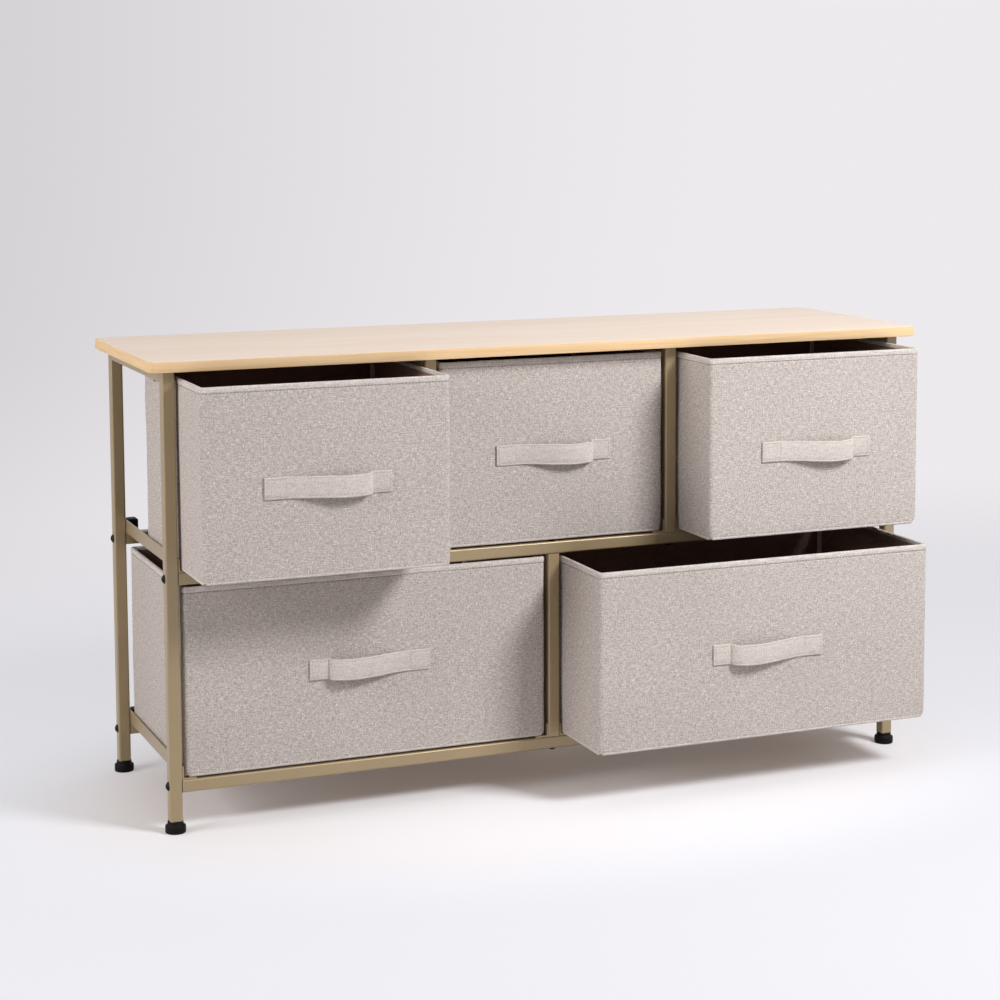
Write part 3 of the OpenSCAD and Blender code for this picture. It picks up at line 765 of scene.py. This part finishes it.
def corner_strip(name, x, y, toward_x, toward_y, bottom, top):
    """A strip that lies in the corner at a slant and bends a little along its height."""
    points, faces, cloth = [], [], []
    rows = 26
    side = STRIP_WIDTH / 2 * math.sqrt(0.5)
    for k in range(rows + 1):
        up = k / rows
        z = bottom + (top - bottom) * up
        sway = 0.25 * MM * noise.noise(Vector((x * 40, y * 40, z * 22)))
        for across, depth in ((-1, 0), (-0.5, 0.25), (0, 0.4), (0.5, 0.25), (1, 0)):
            push = depth * MM + sway
            px = x + toward_x * (side * (1 + across) + push)
            py = y + toward_y * (side * (1 - across) + push)
            points += [(px, py, z), (px + toward_x * STRIP_THICK, py + toward_y * STRIP_THICK, z)]
    wide = 10
    for k in range(rows):
        for c in range(4):
            a = k * wide + 2 * c
            for quad in ((a, a + 2, a + 2 + wide, a + wide), (a + 1, a + 1 + wide, a + 3 + wide, a + 3)):
                faces.append(quad)
        for edge in (0, 8):
            a = k * wide + edge
            strip = (a, a + wide, a + 1 + wide, a + 1)
            faces.append(strip if edge == 0 else (a, a + 1, a + 1 + wide, a + wide))
    for end in (0, rows * wide):
        for c in range(4):
            a = end + 2 * c
            faces.append((a, a + 1, a + 3, a + 2) if end == 0 else (a, a + 2, a + 3, a + 1))
    if toward_x * toward_y > 0:
        faces = [tuple(reversed(face)) for face in faces]
    for face in faces:
        cloth += [((points[p][0] - x) * toward_x, points[p][2], 0) for p in face]
    return make_piece(name, points, faces, [corner_strip_painted_light], cloth=cloth)


for drawer in DRAWERS:
    low, high = bins[drawer]
    inside = BIN_WALL + 0.5 * MM
    for side, x, toward_x in (("left", low.x + inside, 1), ("right", high.x - inside, -1)):
        for face, y, toward_y in (("front", low.y + inside, 1), ("rear", high.y - inside, -1)):
            glow_strip = corner_strip(f"{drawer}_{face}_{side}_tape", x, y, toward_x, toward_y,
                               low.z + 5.2 * MM, high.z - HEM_INSIDE - 0.4 * MM)
            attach(glow_strip, drawer)
print("Taped", 4 * len(DRAWERS), "corners")

# %% [markdown]
# ## Base boards
# A loose board keeps each drawer's bottom flat. It is thin card in the same dark cloth as
# the lining, so its edges are soft and slightly full.

# %% Make the base boards
for drawer in DRAWERS:
    low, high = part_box(drawer + "_base_board")
    plan, girth = round_plan(low, high, 2.7 * MM, step=0.02, arc=5)
    z0, z1 = low.z, high.z
    section = [(2.4 * MM, z0, 0), (0.8 * MM, z0, 0), (0.2 * MM, z0 + 0.4 * MM, 0), (0, z0 + 1.0 * MM, 0),
               (0, z1 - 1.0 * MM, 0), (0.2 * MM, z1 - 0.4 * MM, 0), (0.8 * MM, z1, 0), (2.4 * MM, z1, 0)]
    board = walls(drawer + "_bottom_board", plan, girth, section, [board_cover], crease=50)
    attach(board, drawer)
    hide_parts(drawer + "_base_board")
print("Base boards", round((z1 - z0) / MM, 1), "mm thick")

# %% [markdown]
# ## Strap handles
# Each handle is a folded strap, sewn flat at both ends. Between its two folds it bows out
# far enough for fingers. It is drawn along a smooth line seen from above: flat, a slow
# rise, a tight turn back and flat again, as a strap lies whose slack has moved to one
# side. Round that line goes the strap's own section, with soft edges and the shallow
# channels that its two rows of stitches pull in. One line says all that there is to the
# form, so it needs no simulation either.

# %% Make the straps
# How long each sewn end is, where along the free part the bow stands out most, and how
# thick the strap is.
TAB = 26 * MM
PEAK = 0.74
STRAP_THICK = 2.2 * MM
# For each drawer: the side on which its strap turns back sharply (1 is the right), how
# full its bow is, and how many millimetres it hangs down and its lower edge leans out.
STRAPS = {"top_left_drawer": (1, 0.85, 1.2, 1.2), "top_middle_drawer": (1, 0.72, 2.6, 1.6),
          "top_right_drawer": (1, 0.70, 3.0, 1.6), "bottom_left_drawer": (-1, 0.85, 0.8, 1.0),
          "bottom_right_drawer": (-1, 0.80, 1.6, 1.6)}
# Millimetres by which a strap is sewn on higher than the bare handle.
SEWN_UP = {"top_middle_drawer": 4.0, "bottom_left_drawer": 2.5, "bottom_right_drawer": -1.0}


def handle_box(drawer):
    low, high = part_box(drawer + "_handle")
    up = Vector((0, 0, SEWN_UP.get(drawer, 0) * MM))
    return low + up, high + up


def bow_line(half_length, half, bow, steep):
    """(along, off the drawer) from left to right: a tab, a slow rise, a tight turn, a tab."""
    top = half * (2 * PEAK - 1)
    line = [(-half_length + (half_length - half) * k / 8, 0.0) for k in range(8)]
    for k in range(32):
        rise = k / 32
        line.append((-half + (top + half) * rise, bow * rise * rise * (3 - 2 * rise)))
    for k in range(17):
        turn = math.pi / 2 * k / 16
        along = top + (half - top) * math.sin(turn) + 1.8 * MM * math.sin(2 * turn)
        line.append((along, bow * math.cos(turn)))
    line += [(half + 0.6 * MM + (half_length - half - 0.6 * MM) * k / 8, 0.0) for k in range(9)]
    return line if steep > 0 else [(-x, off) for x, off in reversed(line)]


def strap_section(width, thick):
    """(across, out) round the strap, with round edges and two stitched channels."""
    half, t = width / 2, thick
    outer = [(-1.0, 0.5), (-0.985, 0.80), (-0.94, 0.98), (-0.86, 1.0), (-0.81, 0.86),
             (-0.76, 1.0), (-0.4, 1.03), (0.0, 1.05), (0.4, 1.03), (0.76, 1.0),
             (0.81, 0.86), (0.86, 1.0), (0.94, 0.98), (0.985, 0.80), (1.0, 0.5)]
    inner = [(0.985, 0.18), (0.93, 0.02), (0.5, 0.0), (0.0, 0.0), (-0.5, 0.0), (-0.93, 0.02), (-0.985, 0.18)]
    return [(a * half, b * t) for a, b in outer + inner]


def strap(name, low, high, seed, steep, fullness, hang, lean):
    middle = (low.x + high.x) / 2
    half_length = (high.x - low.x) / 2
    half = half_length - TAB
    face, height = high.y, (low.z + high.z) / 2
    bow = (face - low.y - STRAP_THICK) * fullness
    section = strap_section(high.z - low.z, STRAP_THICK)
    line = bow_line(half_length, half, bow, steep)
    steps = len(line) - 1
    points, faces, cloth = [], [], []
    travelled = [0.0]
    for k, (x, off) in enumerate(line):
        before, after = line[max(k - 1, 0)], line[min(k + 1, steps)]
        dx, dy = after[0] - before[0], after[1] - before[1]
        length = math.hypot(dx, dy)
        nx, ny = -dy / length, dx / length
        if k:
            travelled.append(travelled[-1] + math.hypot(x - line[k - 1][0], off - line[k - 1][1]))
        free = min(1.0, off / bow)
        sag = hang * MM * free
        for across, out in section:
            edge = across * (1 + 0.02 * noise.noise(Vector((x * 40 + seed * 9, across * 60, 1))))
            out_low = lean * MM * free * across / (high.z - low.z)
            points.append((middle + x + nx * out, face - off - ny * out + out_low, height + edge - sag))
    n = len(section)
    for k in range(steps):
        for s in range(n):
            t = (s + 1) % n
            faces.append((k * n + s, k * n + t, (k + 1) * n + t, (k + 1) * n + s))
            a, b = section[s][0], section[t][0]
            c, d = travelled[k] + seed * 0.31, travelled[k + 1] + seed * 0.31
            cloth += [(c, a, 0), (c, b, 0), (d, b, 0), (d, a, 0)]
    for end in (0, steps):
        ring = [end * n + s for s in range(n)]
        faces.append(tuple(reversed(ring)) if end == 0 else tuple(ring))
        cloth += [(points[p][2], points[p][1], 0) for p in faces[-1]]
    faces = [tuple(reversed(face)) for face in faces]
    flipped = []
    at = 0
    for face in faces:
        flipped += reversed(cloth[at:at + len(face)])
        at += len(face)
    return make_piece(name, points, faces, [strap_linen], cloth=flipped, crease=55)


for number, drawer in enumerate(DRAWERS):
    low, high = handle_box(drawer)
    handle = strap(drawer + "_strap", low, high, number, *STRAPS[drawer])
    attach(handle, drawer)
    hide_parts(drawer + "_handle")
print("Straps", round((high.x - low.x) / MM), "mm long,", round((high.z - low.z) / MM), "mm wide")

# %% [markdown]
# ## Stitches
# A row of stitches is a row of short fat dashes, each dipping into the cloth at its ends.
# One helper lays them along any line of points with the direction that faces out. Dashes
# drawn in the finish would cost less, but they would look flat close by. The hem has one
# row all round, and each end of a strap is sewn down with a box of four.

# %% Lay stitches along a line
STITCH = 3.0 * MM
STITCH_GAP = 1.0 * MM
THREAD = 0.36 * MM


def stitches(name, lines, finish):
    """lines: lists of (point, outward), sewn one after the other."""
    points, faces = [], []
    for line in lines:
        reach = [0.0]
        for (a, _), (b, _) in zip(line, line[1:]):
            reach.append(reach[-1] + (b - a).length)

        def at(distance):
            k = next((i for i in range(1, len(reach)) if reach[i] >= distance), len(reach) - 1)
            part = (distance - reach[k - 1]) / max(reach[k] - reach[k - 1], 1e-9)
            return line[k - 1][0].lerp(line[k][0], part), line[k - 1][1].lerp(line[k][1], part).normalized()

        count = int(reach[-1] / (STITCH + STITCH_GAP))
        pitch = reach[-1] / max(count, 1)
        for s in range(count):
            start, end = s * pitch + STITCH_GAP / 2, (s + 1) * pitch - STITCH_GAP / 2
            rings = []
            for part, fat, lift in ((0, 0, -0.25), (0.25, 0.85, 0.5), (0.75, 0.85, 0.5), (1, 0, -0.25)):
                place, out = at(start + (end - start) * part)
                ahead = (at(end)[0] - at(start)[0]).normalized()
                side = ahead.cross(out).normalized()
                centre = place + out * lift * THREAD
                if fat == 0:
                    rings.append([len(points)])
                    points.append(tuple(centre))
                    continue
                rings.append(list(range(len(points), len(points) + 4)))
                for q in range(4):
                    turn = math.pi / 2 * q
                    around = side * math.cos(turn) + out * math.sin(turn)
                    points.append(tuple(centre + around * THREAD * fat))
            tip, one, two, tail = rings
            for q in range(4):
                n = (q + 1) % 4
                faces += [(tip[0], one[n], one[q]), (one[q], one[n], two[n], two[q]),
                          (two[q], two[n], tail[0])]
    return make_piece(name, points, faces, [finish], crease=80)


# %% Sew the hems
HEM_FACE = 4.15 * MM
for number, drawer in enumerate(DRAWERS):
    plan, _ = plans[drawer]
    low, high = bins[drawer]
    slack = wall_slack(low, high, number, WALL_WANDER)
    height = high.z - HEM_OUTSIDE - 0.3 * MM
    rows = []
    for inside in (False, True):
        line = []
        for x, y, ox, oy, along in plan + plan[:1]:
            if inside:
                line.append((Vector((x - HEM_FACE * ox, y - HEM_FACE * oy, height)), Vector((-ox, -oy, 0))))
            else:
                out = slack(x, y, height, along, 0) - 0.5 * MM
                line.append((Vector((x + out * ox, y + out * oy, height)), Vector((ox, oy, 0))))
        rows.append(line)
    sewn = stitches(drawer + "_hem_stitches", rows, shaded_thread)
    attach(sewn, drawer)
    print(sewn.name, len(sewn.data.polygons) // 12, "stitches")

# %% Sew the handles
for drawer in DRAWERS:
    low, high = handle_box(drawer)
    face = high.y - STRAP_THICK - 0.1 * MM
    inset = 2.6 * MM
    out = Vector((0, -1, 0))
    boxes = []
    for left in (low.x + inset, high.x - TAB + 1.2 * MM):
        right = left + TAB - inset - 1.2 * MM
        bottom, top = low.z + inset, high.z - inset
        corners = [(left, bottom), (right, bottom), (right, top), (left, top), (left, bottom)]
        for (xa, za), (xb, zb) in zip(corners, corners[1:]):
            boxes.append([(Vector((xa, face, za)), out), (Vector((xb, face, zb)), out)])
    sewn = stitches(drawer + "_strap_stitches", boxes, pale_thread)
    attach(sewn, drawer)
print("Both ends of", len(DRAWERS), "straps are sewn down")

# %% [markdown]
# ## Feet
# A levelling foot is moulded plastic on a threaded stud. It is turned from one profile,
# because all but its grip is round: a rounded pad, a neck that meets the post, and the
# stud's ridges. Shallow flutes round the pad give fingers a grip to turn it.

# %% Make the feet
def foot_profile(low, high):
    pad = (high.x - low.x) / 2
    profile = [(0, 0.6 * MM), (pad * 0.55, 0.6 * MM), (pad * 0.62, 0.0), (pad - 1.2 * MM, 0.0),
               (pad - 0.35 * MM, 0.35 * MM), (pad, 1.2 * MM), (pad, 8.0 * MM), (pad - 0.3 * MM, 8.7 * MM),
               (pad - 0.9 * MM, 9.2 * MM), (pad - 2.2 * MM, 10.0 * MM), (9.35 * MM, 10.7 * MM),
               (9.2 * MM, 11.2 * MM), (9.2 * MM, 13.4 * MM), (9.0 * MM, 13.85 * MM), (8.5 * MM, 14.0 * MM),
               (4.0 * MM, 14.0 * MM)]
    ridge = 1.25 * MM
    height = 14.4 * MM
    while height < high.z - 1.6 * MM:
        profile += [(3.45 * MM, height), (3.98 * MM, height + ridge / 2)]
        height += ridge
    return profile + [(3.4 * MM, high.z - 0.8 * MM), (2.9 * MM, high.z), (0, high.z)]


def grip_flutes(turn, radius, height):
    if not 1.0 * MM < height < 8.9 * MM:
        return 0.0
    return -0.35 * MM * max(0.0, math.cos(18 * turn)) ** 4


for foot in ("front_left_foot", "front_right_foot", "rear_left_foot", "rear_right_foot"):
    low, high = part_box(foot)
    centre = ((low.x + high.x) / 2, (low.y + high.y) / 2)
    moulded = turned(foot + "_moulding", foot_profile(low, high), [black_plastic], around=108,
                     centre=centre, wobble=grip_flutes, crease=35)
    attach(moulded, foot)
    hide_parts(foot)
print("Feet", round((high.x - low.x) / MM), "mm across")

# %% [markdown]
# ## Welds
# The frame's short joints are welded and then powder coated, so a weld shows as a small
# rippled bead in the same colour. Each bead here is a half-sunk rope of overlapping
# drops: a tube whose thickness rises and falls along its length.

# %% Lay weld beads
def beads(name, runs, radius, finish):
    points, faces = [], []
    sides = 10
    for start, end in runs:
        start, end = Vector(start), Vector(end)
        ahead = (end - start).normalized()
        across = ahead.orthogonal().normalized()
        other = ahead.cross(across)
        rings = 14
        base = len(points)
        for k in range(rings + 1):
            part = k / rings
            taper = math.sqrt(max(0.0, 1 - (2 * part - 1) ** 6))
            fat = radius * (0.25 + 0.75 * taper) * (0.88 + 0.12 * math.cos(part * 7 * 2 * math.pi))
            centre = start.lerp(end, part)
            for s in range(sides):
                turn = 2 * math.pi * s / sides
                points.append(tuple(centre + (across * math.cos(turn) + other * math.sin(turn)) * fat))
        for k in range(rings):
            for s in range(sides):
                t = (s + 1) % sides
                a = base + k * sides
                faces.append((a + s, a + t, a + sides + t, a + sides + s))
        faces.append(tuple(base + s for s in reversed(range(sides))))
        faces.append(tuple(base + rings * sides + s for s in range(sides)))
    return make_piece(name, points, faces, [finish], crease=70)


BEAD_RADIUS = 1.1 * MM
# How deep the middle of a bead lies in the steel, and how far short of an edge it stops.
TUBE_SUNK, TUBE_SHORT = 0.7 * MM, 2.2 * MM
RUNNER_SUNK, RUNNER_SHORT = 0.6 * MM, 1.0 * MM
weld_runs = []
for tube in TOP_TUBES:
    low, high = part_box(tube)
    z = low.z + TUBE_SUNK
    for y in (low.y, high.y):
        for x in (low.x + TUBE_SUNK, high.x - TUBE_SUNK):
            weld_runs.append(((x, y, low.z + TUBE_SHORT), (x, y, high.z - TUBE_SHORT)))
        weld_runs.append(((low.x + TUBE_SHORT, y, z), (high.x - TUBE_SHORT, y, z)))
front_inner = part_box("front_middle_rail")[1].y
rear_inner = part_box("rear_middle_rail")[0].y
for drawer in DRAWERS:
    for side in ("left", "right"):
        low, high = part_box(f"{drawer}_{side}_runner")
        x = low.x + RUNNER_SUNK if side == "left" else high.x - RUNNER_SUNK
        for start, end in ((low.y, front_inner), (rear_inner, high.y)):
            weld_runs.append(((x, start + RUNNER_SHORT, high.z), (x, end - RUNNER_SHORT, high.z)))
welds = beads("frame_welds", weld_runs, BEAD_RADIUS, champagne_coat)
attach(welds, "frame")
print(len(weld_runs), "weld beads")

# %% [markdown]
# ## Measure and finish
# The dressed dresser is meant to stay the size of the bare one, apart from a millimetre or
# two of cloth. Its box is measured here, and its sides are printed.

# %% Sizes, and the end
dressed_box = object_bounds()
dressed_sides = [round(1000 * side, 1) for side in dressed_box[1] - dressed_box[0]]
print("The dressed dresser measures", dressed_sides, "mm")
